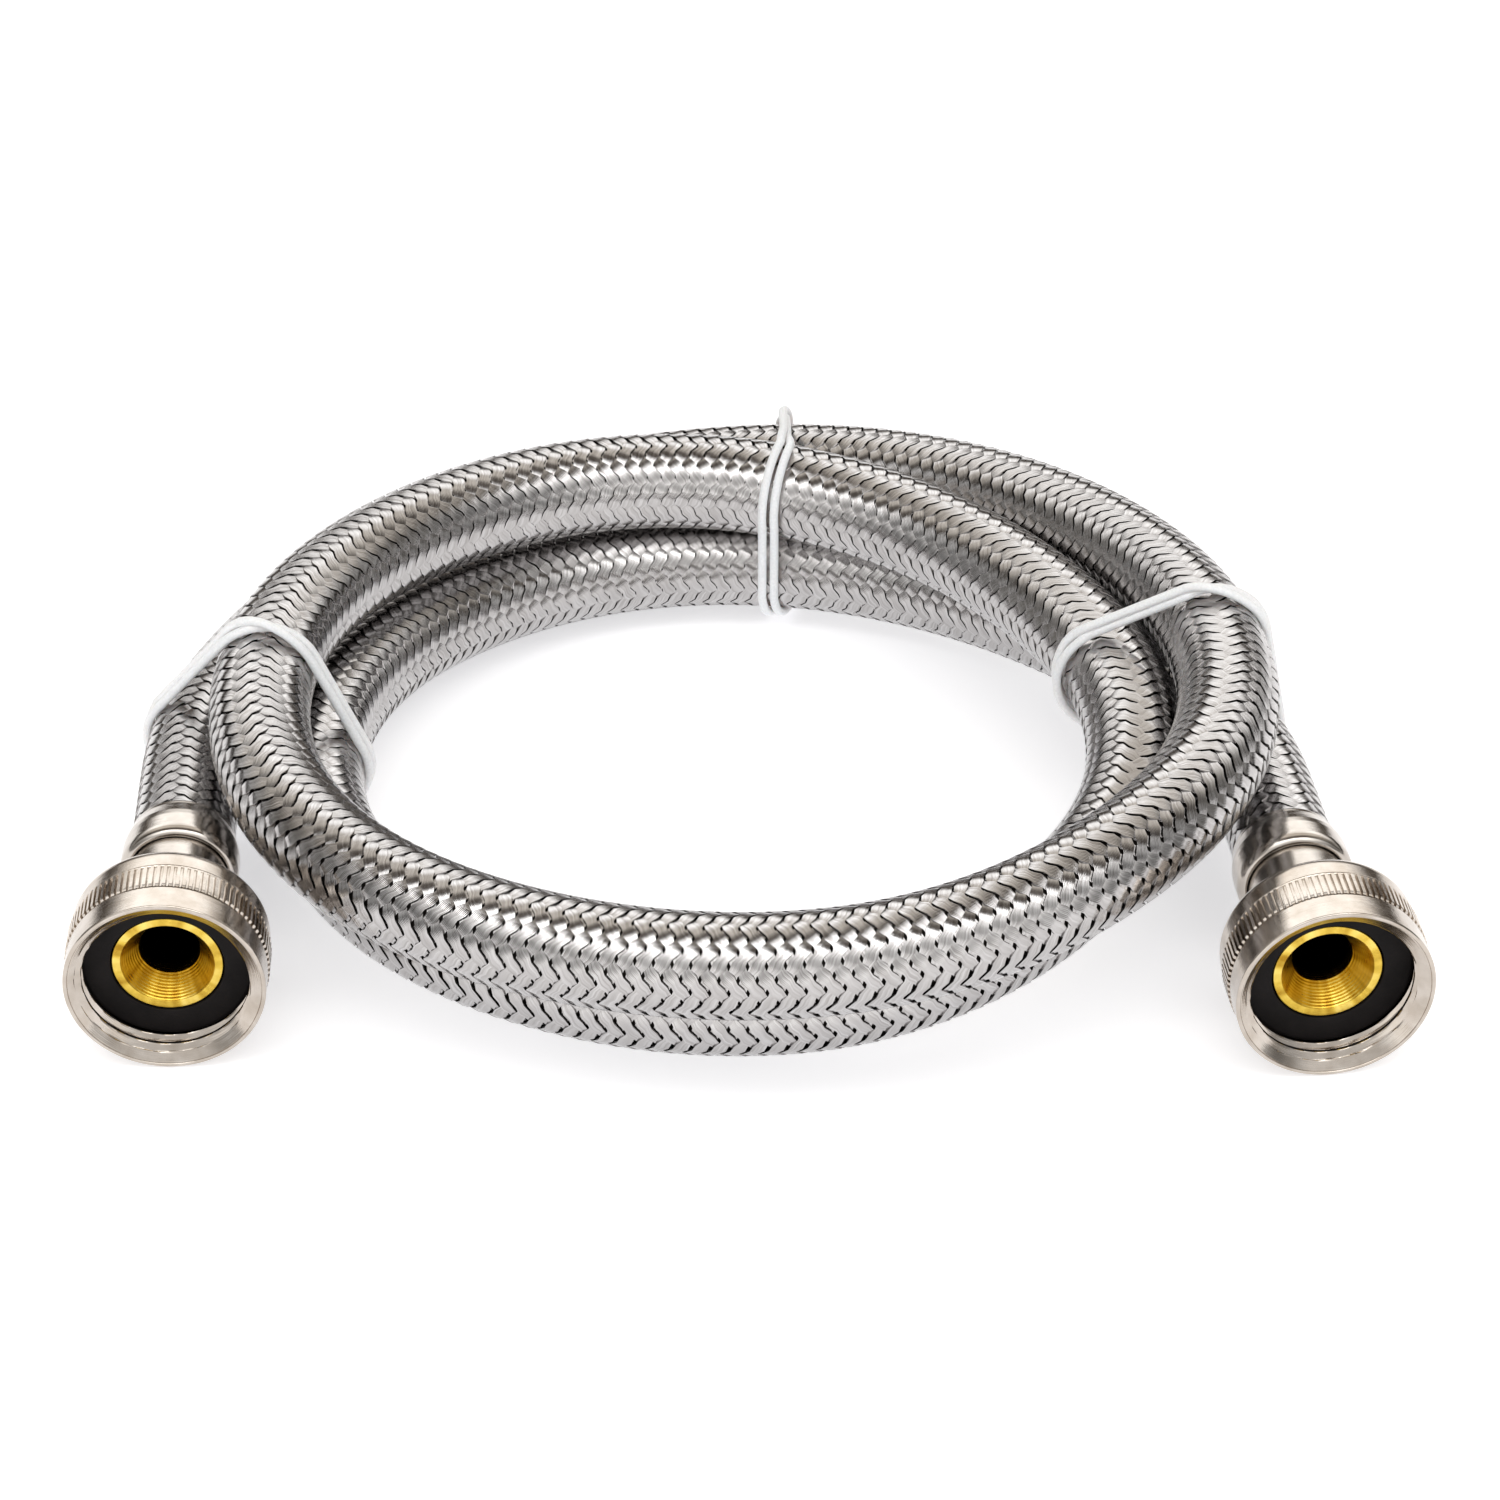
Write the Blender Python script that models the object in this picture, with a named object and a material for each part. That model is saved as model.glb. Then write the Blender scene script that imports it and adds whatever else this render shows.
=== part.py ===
"""Braided supply line: a flexible hose with a swivel coupling nut at each end, coiled and tied.

Lengths are in millimetres until mesh_object() turns them into metres. X runs across the coil,
Y from the fittings to the back of the coil, Z up from the floor the coil lies on.
"""

import math

import bmesh
import bpy
import numpy as np
from mathutils import Matrix, Vector

MM = 0.001

# Hose: a rubber inner tube inside a braided sleeve.
SLEEVE_OUTER_R = 7.85
SLEEVE_INNER_R = 7.3
TUBE_OUTER_R = 6.95
TUBE_INNER_R = 5.85
HOSE_SIDES = 10
HOSE_STATIONS = 72

# Fittings: distances run back from the rim of the nut along the fitting's axis.
AXIS_HEIGHT = 15.4
HOSE_END = 29.5
LEFT_RIM = (-86.4, -71.0)
LEFT_YAW = 1.0
RIGHT_RIM = (88.5, -72.9)
RIGHT_YAW = 7.0
LEAD = 20.0

# Route of the hose: spline controls between the two fittings, as the angle about the coil's
# axis in degrees, the distance from that axis and the height above the floor.
ROUTE = [
    (178, 88.0, 15.5),
    (140, 85.0, 11.5),
    (109, 81.0, 13.5),
    (73, 73.5, 21.0),
    (35, 70.5, 28.0),
    (1, 77.0, 32.5),
    (-25, 84.0, 33.0),
    (-49, 85.0, 31.5),
    (-74, 83.5, 26.0),
    (-104, 81.0, 24.5),
    (-133, 84.0, 25.5),
    (-157, 83.0, 27.5),
    (-182, 77.0, 29.5),
    (-208, 68.0, 29.0),
    (-236, 61.0, 28.0),
    (-265, 56.0, 27.0),
    (-297, 52.0, 26.0),
    (-332, 53.5, 25.5),
    (-364, 63.0, 24.5),
    (-388, 70.5, 20.5),
    (-412, 72.5, 15.0),
    (-439, 72.0, 10.5),
    (-469, 71.5, 10.5),
    (-497, 74.5, 12.0),
    (-521, 73.5, 13.0),
    (-547, 69.0, 13.0),
    (-574, 64.0, 11.5),
    (-605, 60.0, 10.5),
    (-639, 58.5, 10.2),
    (-678, 63.0, 10.5),
    (-720, 79.5, 15.5),
]
# Where the coil's axis stands, so that the whole part is centred on the origin.
COIL_AXIS = (-0.8, 1.5)

# Ties: a cord wound twice round the three strands at each place. Each entry gives a point the
# tie's plane passes through, the plane's outward direction and the side where the cord crosses
# over itself, both in degrees.
TIE_R = 0.85
TIE_SIDES = 6
TIE_STATIONS = 72
TIE_GAP = 0.7
TIE_SPREAD = 1.05
TIE_LIFT = 2.1
TIE_REACH = 40.0
TIES = {
    "tie_left": ((-77.0, -7.0), 171.0, -90.0),
    "tie_back": ((6.0, 60.0), 90.0, 0.0),
    "tie_right": ((70.0, -1.5), -1.0, -90.0),
}

# Coupling nut, for a 3/4 inch garden-hose thread.
THREAD_PITCH = 2.209
THREAD_ROOT_R = 13.6
THREAD_CREST_R = 12.6
THREAD_ROOT_HALF = 0.14
THREAD_BASE_R = 12.4
THREAD_START = -1.6
THREAD_END = 5.2
NUT_COLUMNS = 32
FLUTES = 96
FLUTE_TIP_R = 15.4
FLUTE_ROOT_R = 15.1
KNURL_FRONT = 5.15
KNURL_BACK = 10.25
GROOVE_R = 14.85
NUT_FRONT = [(0.0, 14.15), (0.0, 14.9), (0.3, 15.15), (4.9, 15.15), (KNURL_FRONT, GROOVE_R)]
NUT_REAR = [
    (KNURL_BACK, GROOVE_R),
    (10.5, 15.1),
    (12.9, 15.1),
    (14.2, 14.6),
    (15.1, 13.6),
    (15.6, 12.2),
    (15.6, 8.3),
    (15.3, 8.0),
    (11.8, 8.0),
    (11.8, 13.7),
    (4.8, 13.7),
    (4.3, THREAD_CREST_R),
    (1.4, THREAD_CREST_R),
]

# The other turned pieces, as closed outlines of (distance back from the rim, radius).
TURNED_SIDES = 32
TAILPIECE = [
    (5.85, 7.1),
    (5.85, 8.3),
    (6.0, 8.45),
    (8.8, 8.45),
    (8.8, 12.3),
    (10.6, 12.3),
    (10.6, 7.7),
    (29.2, 7.7),
    (29.2, 4.95),
    (33.0, 4.95),
    (33.0, 5.25),
    (37.0, 4.95),
    (37.0, 5.25),
    (41.0, 4.95),
    (41.0, 5.25),
    (45.0, 4.8),
    (45.0, 4.3),
    (12.0, 4.3),
    (9.8, 4.65),
]
WASHER = [(5.6, 8.75), (5.6, 12.35), (5.9, 13.0), (8.5, 13.0), (8.5, 8.75)]
FERRULE = [
    (27.6, 8.0),
    (27.6, 8.2),
    (28.2, 8.8),
    (29.3, 9.15),
    (33.4, 9.15),
    (36.6, 8.6),
    (36.6, 8.2),
    (28.3, 8.2),
    (28.3, 8.0),
]

# Colour, roughness and metallic of each material.
FINISHES = {
    "braid": ((0.62, 0.61, 0.59), 0.32, 1.0),
    "tube": ((0.05, 0.05, 0.05), 0.7, 0.0),
    "ferrule": ((0.66, 0.65, 0.63), 0.22, 1.0),
    "nut": ((0.72, 0.70, 0.67), 0.2, 1.0),
    "brass": ((0.80, 0.58, 0.22), 0.28, 1.0),
    "washer": ((0.02, 0.02, 0.02), 0.6, 0.0),
    "tie": ((0.86, 0.86, 0.84), 0.55, 0.0),
}


def clear_scene():
    """Remove whatever the file opened with."""
    for obj in list(bpy.data.objects):
        bpy.data.objects.remove(obj, do_unlink=True)


def material(slot):
    """The material of this name, made the first time it is asked for."""
    found = bpy.data.materials.get(slot)
    if found:
        return found
    colour, roughness, metallic = FINISHES[slot]
    made = bpy.data.materials.new(slot)
    made.use_nodes = True
    shader = made.node_tree.nodes["Principled BSDF"]
    shader.inputs["Base Color"].default_value = (*colour, 1.0)
    shader.inputs["Roughness"].default_value = roughness
    shader.inputs["Metallic"].default_value = metallic
    return made


def mesh_object(name, points, faces, slot, place=None):
    """One object from points in millimetres, with its faces turned outwards."""
    mesh = bpy.data.meshes.new(name)
    mesh.from_pydata([tuple(MM * c for c in point) for point in points], [], faces)
    work = bmesh.new()
    work.from_mesh(mesh)
    bmesh.ops.recalc_face_normals(work, faces=work.faces)
    work.to_mesh(mesh)
    work.free()
    mesh.shade_smooth()
    mesh.set_sharp_from_angle(angle=math.radians(35))
    mesh.materials.append(material(slot))
    obj = bpy.data.objects.new(name, mesh)
    bpy.context.scene.collection.objects.link(obj)
    if place is not None:
        obj.matrix_world = place
    return obj


def smooth_curve(controls, per_span=40):
    """Points along the uniform cubic B-spline of these controls, from the first to the last."""
    points = np.array(controls, float)
    ends = np.vstack([2 * points[0] - points[1], points, 2 * points[-1] - points[-2]])
    t = np.linspace(0, 1, per_span, endpoint=False)[:, None]
    weights = (
        (1 - t) ** 3 / 6,
        (3 * t**3 - 6 * t**2 + 4) / 6,
        (-3 * t**3 + 3 * t**2 + 3 * t + 1) / 6,
        t**3 / 6,
    )
    spans = [
        sum(weight * ends[first + k] for k, weight in enumerate(weights))
        for first in range(len(ends) - 3)
    ]
    return np.vstack([*spans, points[-1:]])


def evenly_spaced(points, count):
    """The same line, as this many points at equal distances along it."""
    steps = np.linalg.norm(np.diff(points, axis=0), axis=1)
    along = np.concatenate([[0], np.cumsum(steps)])
    wanted = np.linspace(0, along[-1], count)
    return np.stack([np.interp(wanted, along, points[:, k]) for k in range(3)], axis=1)


def fitting_axis(yaw):
    """The direction out of the nut's mouth."""
    turn = math.radians(yaw)
    return np.array([math.sin(turn), -math.cos(turn), 0.0])


def rim_centre(rim):
    """The centre of a nut's rim."""
    return np.array([rim[0] + COIL_AXIS[0], rim[1] + COIL_AXIS[1], AXIS_HEIGHT])


def hose_centreline():
    """The hose's whole route, from inside the left ferrule to inside the right one."""
    controls = []
    left = rim_centre(LEFT_RIM) - HOSE_END * fitting_axis(LEFT_YAW)
    right = rim_centre(RIGHT_RIM) - HOSE_END * fitting_axis(RIGHT_YAW)
    controls.append(left)
    controls.append(left - LEAD * fitting_axis(LEFT_YAW))
    for angle, radius, height in ROUTE:
        turn = math.radians(angle)
        x = COIL_AXIS[0] + radius * math.cos(turn)
        y = COIL_AXIS[1] + radius * math.sin(turn)
        controls.append(np.array([x, y, height]))
    controls.append(right - LEAD * fitting_axis(RIGHT_YAW))
    controls.append(right)
    return smooth_curve(controls)


def directions(points, closed):
    """The unit direction of the line at each of its points."""
    if closed:
        steps = np.roll(points, -1, axis=0) - np.roll(points, 1, axis=0)
    else:
        steps = np.gradient(points, axis=0)
    return steps / np.linalg.norm(steps, axis=1)[:, None]


def carried_sides(points, closed):
    """Two unit vectors across the line at each point, carried along it with no twist."""
    along = directions(points, closed)
    side = np.cross(along[0], [0.0, 0.0, 1.0])
    side /= np.linalg.norm(side)
    sides = [side]
    for heading in along[1:]:
        side = side - heading * (side @ heading)
        side = side / np.linalg.norm(side)
        sides.append(side)
    sides = np.array(sides)
    others = np.cross(along, sides)
    if closed:
        last = sides[-1] - along[0] * (sides[-1] @ along[0])
        gap = math.atan2(last @ others[0], last @ sides[0])
        turn = -gap * np.arange(len(points)) / len(points)
        cos, sin = np.cos(turn)[:, None], np.sin(turn)[:, None]
        sides, others = cos * sides + sin * others, cos * others - sin * sides
    return sides, others


def ring_points(points, radius, count, closed=False):
    """Rings of this radius round the line, one after another."""
    sides, others = carried_sides(points, closed)
    turn = 2 * math.pi * np.arange(count) / count
    cos, sin = np.cos(turn), np.sin(turn)
    rings = sides[:, None, :] * cos[None, :, None] + others[:, None, :] * sin[None, :, None]
    return (points[:, None, :] + radius * rings).reshape(-1, 3)


def band(first, second, count):
    """The quads between two rings, given where each one's points start."""
    quads = []
    for k in range(count):
        after = (k + 1) % count
        quads.append((first + k, first + after, second + after, second + k))
    return quads


def hollow_tube(name, line, outer_r, inner_r, slot):
    """A tube open at both ends."""
    outer = ring_points(line, outer_r, HOSE_SIDES)
    inner = ring_points(line, inner_r, HOSE_SIDES)
    offset = len(outer)
    last = (len(line) - 1) * HOSE_SIDES
    faces = []
    for k in range(len(line) - 1):
        start = k * HOSE_SIDES
        faces += band(start, start + HOSE_SIDES, HOSE_SIDES)
        faces += band(offset + start, offset + start + HOSE_SIDES, HOSE_SIDES)
    faces += band(0, offset, HOSE_SIDES)
    faces += band(last, offset + last, HOSE_SIDES)
    return mesh_object(name, np.vstack([outer, inner]), faces, slot)


def strands_through(line, centre, outward, across):
    """Where the hose crosses a tie's plane, as (outward, up, radius seen in the plane)."""
    heading = directions(line, False)
    offset = (line[:, :2] - centre) @ across
    reach = (line[:, :2] - centre) @ outward
    found = []
    for k in np.flatnonzero(offset[:-1] * offset[1:] < 0):
        if abs(reach[k]) > TIE_REACH:
            continue
        slant = abs(heading[k, :2] @ across)
        share = offset[k] / (offset[k] - offset[k + 1])
        out = reach[k] + share * (reach[k + 1] - reach[k])
        up = line[k, 2] + share * (line[k + 1, 2] - line[k, 2])
        found.append((out, up, (SLEEVE_OUTER_R + TIE_GAP) / slant + TIE_R))
    return np.array(found)


def tie_line(line, centre, outward_angle, crossing_angle):
    """A closed line that goes twice round the strands and crosses over itself once."""
    turn = math.radians(outward_angle)
    outward = np.array([math.cos(turn), math.sin(turn)])
    across = np.array([-math.sin(turn), math.cos(turn)])
    centre = np.array(centre) + COIL_AXIS
    strands = strands_through(line, centre, outward, across)
    points = []
    for share in np.linspace(0, 2, 1440, endpoint=False):
        lap, part = divmod(share, 1.0)
        angle = math.radians(crossing_angle) + 2 * math.pi * (part - 0.5)
        facing = np.array([math.cos(angle), math.sin(angle)])
        held_by = strands[np.argmax(strands[:, :2] @ facing + strands[:, 2])]
        swap = 1.0 - 2.0 / (1.0 + math.exp(-(part - 0.5) / 0.035))
        sideways = TIE_SPREAD * swap * (1 if lap == 0 else -1)
        lift = TIE_LIFT * math.exp(-(((part - 0.5) / 0.1) ** 2)) if lap else 0.0
        out, up = held_by[:2] + (held_by[2] + lift) * facing
        x, y = centre + out * outward + sideways * across
        points.append((x, y, up))
    points.append(points[0])
    return evenly_spaced(np.array(points), TIE_STATIONS + 1)[:-1]


def closed_cord(name, line, radius, slot):
    """A solid cord along a closed line."""
    points = ring_points(line, radius, TIE_SIDES, closed=True)
    faces = []
    for k in range(len(line)):
        after = (k + 1) % len(line)
        faces += band(k * TIE_SIDES, after * TIE_SIDES, TIE_SIDES)
    return mesh_object(name, points, faces, slot)


def circle(distance, radius, count):
    """A ring of points at this distance back from the rim."""
    turns = [2 * math.pi * k / count for k in range(count)]
    return [(radius * math.cos(turn), radius * math.sin(turn), -distance) for turn in turns]


def turned(name, outline, slot, place):
    """A turned piece from its closed outline."""
    points = []
    faces = []
    for k, (distance, radius) in enumerate(outline):
        points += circle(distance, radius, TURNED_SIDES)
        after = (k + 1) % len(outline)
        faces += band(k * TURNED_SIDES, after * TURNED_SIDES, TURNED_SIDES)
    return mesh_object(name, points, faces, slot, place)


def fluted_ring(distance):
    """A ring of points that alternates between the tips and the roots of the knurl."""
    points = []
    for k in range(2 * FLUTES):
        radius = FLUTE_ROOT_R if k % 2 else FLUTE_TIP_R
        turn = math.pi * k / FLUTES
        points.append((radius * math.cos(turn), radius * math.sin(turn), -distance))
    return points


def shoulder(plain, fluted):
    """The faces between a plain ring and a fluted ring with more points."""
    per_column = 2 * FLUTES // NUT_COLUMNS
    faces = []
    for k in range(NUT_COLUMNS):
        ridge = [fluted + (k * per_column + j) % (2 * FLUTES) for j in range(per_column + 1)]
        faces.append((plain + k, *ridge, plain + (k + 1) % NUT_COLUMNS))
    return faces


def thread_cutter(name, place):
    """The space between the turns of the nut's thread, as a helical wedge."""
    slope = math.tan(math.radians(30))
    base_half = THREAD_ROOT_HALF + slope * (THREAD_ROOT_R - THREAD_BASE_R)
    corners = [
        (-base_half, THREAD_BASE_R),
        (-THREAD_ROOT_HALF, THREAD_ROOT_R),
        (THREAD_ROOT_HALF, THREAD_ROOT_R),
        (base_half, THREAD_BASE_R),
    ]
    sections = round((THREAD_END - THREAD_START) / THREAD_PITCH * NUT_COLUMNS)
    points = []
    faces = []
    for k in range(sections + 1):
        turn = 2 * math.pi * (k + 0.5) / NUT_COLUMNS
        distance = THREAD_START + THREAD_PITCH * k / NUT_COLUMNS
        for along, radius in corners:
            x, y = radius * math.cos(turn), radius * math.sin(turn)
            points.append((x, y, -(distance + along)))
        if k:
            faces += band(4 * (k - 1), 4 * k, 4)
    faces.append((0, 1, 2, 3))
    faces.append(tuple(4 * sections + j for j in range(4)))
    cutter = mesh_object(name, points, faces, "nut", place)
    cutter.hide_render = True
    cutter.display_type = "WIRE"
    return cutter


def coupling_nut(name, place):
    """A coupling nut with a knurled band outside and a hose thread inside."""
    points = []
    faces = []
    for k, (distance, radius) in enumerate(NUT_FRONT + NUT_REAR):
        points += circle(distance, radius, NUT_COLUMNS)
        if k not in (0, len(NUT_FRONT)):
            faces += band((k - 1) * NUT_COLUMNS, k * NUT_COLUMNS, NUT_COLUMNS)
    faces += band(len(points) - NUT_COLUMNS, 0, NUT_COLUMNS)
    knurl_front = len(points)
    points += fluted_ring(KNURL_FRONT)
    knurl_back = len(points)
    points += fluted_ring(KNURL_BACK)
    faces += shoulder((len(NUT_FRONT) - 1) * NUT_COLUMNS, knurl_front)
    faces += band(knurl_front, knurl_back, 2 * FLUTES)
    faces += shoulder(len(NUT_FRONT) * NUT_COLUMNS, knurl_back)
    nut = mesh_object(name, points, faces, "nut", place)
    cut = nut.modifiers.new("thread", "BOOLEAN")
    cut.operation = "DIFFERENCE"
    cut.solver = "EXACT"
    cut.object = thread_cutter(name + "_thread_cutter", place)
    return nut


def fitting(side, rim, yaw):
    """The pieces of one end. Each one's own origin is on the fitting's axis, at the rim."""
    out = Vector(fitting_axis(yaw))
    up = Vector((0.0, 0.0, 1.0))
    across = up.cross(out)
    place = Matrix((across, up, out)).transposed().to_4x4()
    place.translation = Vector(rim_centre(rim)) * MM
    turned(side + "_tailpiece", TAILPIECE, "brass", place)
    turned(side + "_ferrule", FERRULE, "ferrule", place)
    turned(side + "_washer", WASHER, "washer", place)
    coupling_nut(side + "_coupling_nut", place)


def main():
    clear_scene()
    line = hose_centreline()
    stations = evenly_spaced(line, HOSE_STATIONS)
    hollow_tube("braid_sleeve", stations, SLEEVE_OUTER_R, SLEEVE_INNER_R, "braid")
    hollow_tube("inner_tube", stations, TUBE_OUTER_R, TUBE_INNER_R, "tube")
    for name, (centre, outward_angle, crossing_angle) in TIES.items():
        path = tie_line(line, centre, outward_angle, crossing_angle)
        closed_cord(name, path, TIE_R, "tie")
    fitting("left", LEFT_RIM, LEFT_YAW)
    fitting("right", RIGHT_RIM, RIGHT_YAW)
    bpy.context.view_layer.update()


main()
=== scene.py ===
"""Looks of the braided supply line: woven braid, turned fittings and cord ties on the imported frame.

Lengths are in millimetres until mesh_piece() turns them into metres.
"""

import math

import bpy
import numpy as np
from mathutils import Matrix, Vector


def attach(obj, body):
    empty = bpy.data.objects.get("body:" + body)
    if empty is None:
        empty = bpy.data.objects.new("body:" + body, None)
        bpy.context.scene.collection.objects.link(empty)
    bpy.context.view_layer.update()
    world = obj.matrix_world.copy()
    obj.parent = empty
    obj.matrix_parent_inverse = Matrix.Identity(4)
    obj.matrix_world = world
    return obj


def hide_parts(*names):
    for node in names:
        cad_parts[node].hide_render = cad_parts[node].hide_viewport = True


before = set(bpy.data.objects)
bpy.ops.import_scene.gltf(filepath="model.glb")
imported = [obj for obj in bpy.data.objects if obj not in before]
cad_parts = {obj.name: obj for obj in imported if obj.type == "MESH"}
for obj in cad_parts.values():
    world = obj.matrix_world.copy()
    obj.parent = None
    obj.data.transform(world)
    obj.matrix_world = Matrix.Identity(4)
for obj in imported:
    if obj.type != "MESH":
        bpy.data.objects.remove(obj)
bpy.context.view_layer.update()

MM = 0.001

# The hose's route, the same as in the CAD.
AXIS_HEIGHT = 15.4
HOSE_END = 29.5
LEFT_RIM = (-86.4, -71.0)
LEFT_YAW = 1.0
RIGHT_RIM = (88.5, -72.9)
RIGHT_YAW = 7.0
LEAD = 20.0
ROUTE = [
    (178, 88.0, 15.5),
    (140, 85.0, 11.5),
    (109, 81.0, 13.5),
    (73, 73.5, 21.0),
    (35, 70.5, 28.0),
    (1, 77.0, 32.5),
    (-25, 84.0, 33.0),
    (-49, 85.0, 31.5),
    (-74, 83.5, 26.0),
    (-104, 81.0, 24.5),
    (-133, 84.0, 25.5),
    (-157, 83.0, 27.5),
    (-182, 77.0, 29.5),
    (-208, 68.0, 29.0),
    (-236, 61.0, 28.0),
    (-265, 56.0, 27.0),
    (-297, 52.0, 26.0),
    (-332, 53.5, 25.5),
    (-364, 63.0, 24.5),
    (-388, 70.5, 20.5),
    (-412, 72.5, 15.0),
    (-439, 72.0, 10.5),
    (-469, 71.5, 10.5),
    (-497, 74.5, 12.0),
    (-521, 73.5, 13.0),
    (-547, 69.0, 13.0),
    (-574, 64.0, 11.5),
    (-605, 60.0, 10.5),
    (-639, 58.5, 10.2),
    (-678, 63.0, 10.5),
    (-720, 79.5, 15.5),
]
COIL_AXIS = (-0.8, 1.5)
HOSE_OD = 16.0

# Braid: flat strands of fine wire, twelve each way, over two and under two.
CARRIERS = 12
BRAID_LEAD = 31.5
BRAID_R = 7.66
BRAID_SWING = 0.22
STRAND_WIDTH = 1.8
STRAND_SCALLOP = 0.27
STRAND_THICKNESS = 0.2
WEAVE_STEEPNESS = 4.0
WEAVE_STOPS = (-1.0, -0.5, 0.0, 0.5)
WIRES = 8

# The inner tube, seen between the strands.
TUBE_OUTER_R = 7.1
TUBE_INNER_R = 5.85

# Ties: a twisted cord. Its two laps lie TIE_SPREAD each side of the middle and change sides at the
# crossing, where the second lap rises by TIE_LIFT.
TIE_R = 0.74
TIE_SPREAD = 1.0
TIE_LIFT = 1.35
TIE_REACH = 40.0
TIE_COLUMNS = 16
TIE_TWIST_LENGTH = 4.0
# Each tie's centre from the coil's axis, the angle it faces, the angle round the strands where it
# crosses itself, and how far it bows sideways.
TIES = {
    "tie_left": ((-77.0, -7.0), 171.0, 80.0, 0.0),
    "tie_back": ((6.0, 60.0), 90.0, 60.0, 3.0),
    "tie_right": ((70.0, -1.5), -1.0, 115.0, 0.0),
}

# Coupling nut. Distances along a fitting are from its nut's rim, towards the hose.
THREAD_PITCH = 2.209
THREAD_ROOT_R = 13.6
THREAD_CREST_R = 12.6
THREAD_END = 5.3
THREAD_ROWS = 54
MOUTH_R = 14.55
MOUTH_SLOPE = 1.3
RELIEF_R = 13.7
RUN_OUT_SLOPE = 2.5
NUT_COLUMNS = 160
NUT_BACK = 15.6
SHOULDER_FROM = 12.9
SHOULDER_R = 15.1
NUT_HOLE_R = 8.0

# The knurled band round the nut.
FLUTES = 96
FLUTE_TIP_R = 15.4
FLUTE_ROOT_R = 14.9
BAND_FRONT = 5.2
BAND_BACK = 10.25
BAND_EDGE = 0.3

# Tailpiece: nose, flange, neck and the shank inside the hose.
NOSE_FRONT = 5.85
NOSE_R = 8.45
NOSE_END = 8.8
BORE_R = 4.3
BORE_MOUTH_END = 9.9
# Painted shade inside the bore starts this far from the nut's rim.
BORE_PAINTED_SHADE_FROM = 9.9

# Points on a quarter circle of the shoulder and of the ferrule's front, and round a turned piece.
SHOULDER_STEPS = 8
FERRULE_STEPS = 6
TURNED_COLUMNS = 128

# The studio's sky: elevation in degrees from the horizon in front, over the top, to the one
# behind, the brightness there and its tint.
WARM = (1.0, 0.93, 0.83)
BROWN = (1.0, 0.86, 0.74)
WHITE = (1.0, 0.99, 0.97)
SKY = [
    (0, 1.7, WHITE),
    (12, 1.5, WHITE),
    (22, 0.75, WHITE),
    (40, 0.95, WHITE),
    (50, 1.7, WHITE),
    (74, 1.9, WHITE),
    (83, 0.14, BROWN),
    (98, 0.18, BROWN),
    (110, 1.0, WARM),
    (128, 0.9, WARM),
    (138, 2.0, WHITE),
    (152, 2.0, WHITE),
    (161, 0.14, BROWN),
    (180, 0.1, BROWN),
]

# Two dark cards fade in where a direction leans this far to a side.
SIDE_CARD_EDGE = 3.3
SIDE_CARD_START = 1.8
SIDE_CARD_DARKNESS = 0.72

# Floor and softbox, in metres and watts.
FLOOR_REACH = 6.0
SOFTBOX_AT = (0.0, -0.35, 0.85)
SOFTBOX_SIZE = (1.1, 0.22)
SOFTBOX_POWER = 1.6

# Camera.
CAMERA_AT = (0.28, -651.3, 464.4)
CAMERA_TILT = 34.89
CAMERA_LENS = 117.96


def smooth_curve(controls, per_span=40):
    """Points along the uniform cubic B-spline of these controls, from the first to the last."""
    points = np.array(controls, float)
    ends = np.vstack([2 * points[0] - points[1], points, 2 * points[-1] - points[-2]])
    t = np.linspace(0, 1, per_span, endpoint=False)[:, None]
    weights = (
        (1 - t) ** 3 / 6,
        (3 * t**3 - 6 * t**2 + 4) / 6,
        (-3 * t**3 + 3 * t**2 + 3 * t + 1) / 6,
        t**3 / 6,
    )
    spans = [
        sum(weight * ends[first + k] for k, weight in enumerate(weights))
        for first in range(len(ends) - 3)
    ]
    return np.vstack([*spans, points[-1:]])


def evenly_spaced(points, count):
    """The same line, as this many points at equal distances along it."""
    steps = np.linalg.norm(np.diff(points, axis=0), axis=1)
    along = np.concatenate([[0], np.cumsum(steps)])
    wanted = np.linspace(0, along[-1], count)
    return np.stack([np.interp(wanted, along, points[:, k]) for k in range(3)], axis=1)


def line_length(points):
    """The length of a line through these points."""
    return float(np.linalg.norm(np.diff(points, axis=0), axis=1).sum())


def fitting_axis(yaw):
    """The direction out of the nut's mouth."""
    turn = math.radians(yaw)
    return np.array([math.sin(turn), -math.cos(turn), 0.0])


def rim_centre(rim):
    """The centre of a nut's rim."""
    return np.array([rim[0] + COIL_AXIS[0], rim[1] + COIL_AXIS[1], AXIS_HEIGHT])


def hose_centreline():
    """The hose's whole route, from inside the left ferrule to inside the right one."""
    controls = []
    left = rim_centre(LEFT_RIM) - HOSE_END * fitting_axis(LEFT_YAW)
    right = rim_centre(RIGHT_RIM) - HOSE_END * fitting_axis(RIGHT_YAW)
    controls.append(left)
    controls.append(left - LEAD * fitting_axis(LEFT_YAW))
    for angle, radius, height in ROUTE:
        turn = math.radians(angle)
        x = COIL_AXIS[0] + radius * math.cos(turn)
        y = COIL_AXIS[1] + radius * math.sin(turn)
        controls.append(np.array([x, y, height]))
    controls.append(right - LEAD * fitting_axis(RIGHT_YAW))
    controls.append(right)
    return smooth_curve(controls)


def unit(vectors):
    """The same directions with unit length."""
    return vectors / np.linalg.norm(vectors, axis=-1, keepdims=True)


def directions(points, closed):
    """The unit direction of the line at each of its points."""
    if closed:
        return unit(np.roll(points, -1, axis=0) - np.roll(points, 1, axis=0))
    return unit(np.gradient(points, axis=0))


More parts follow.
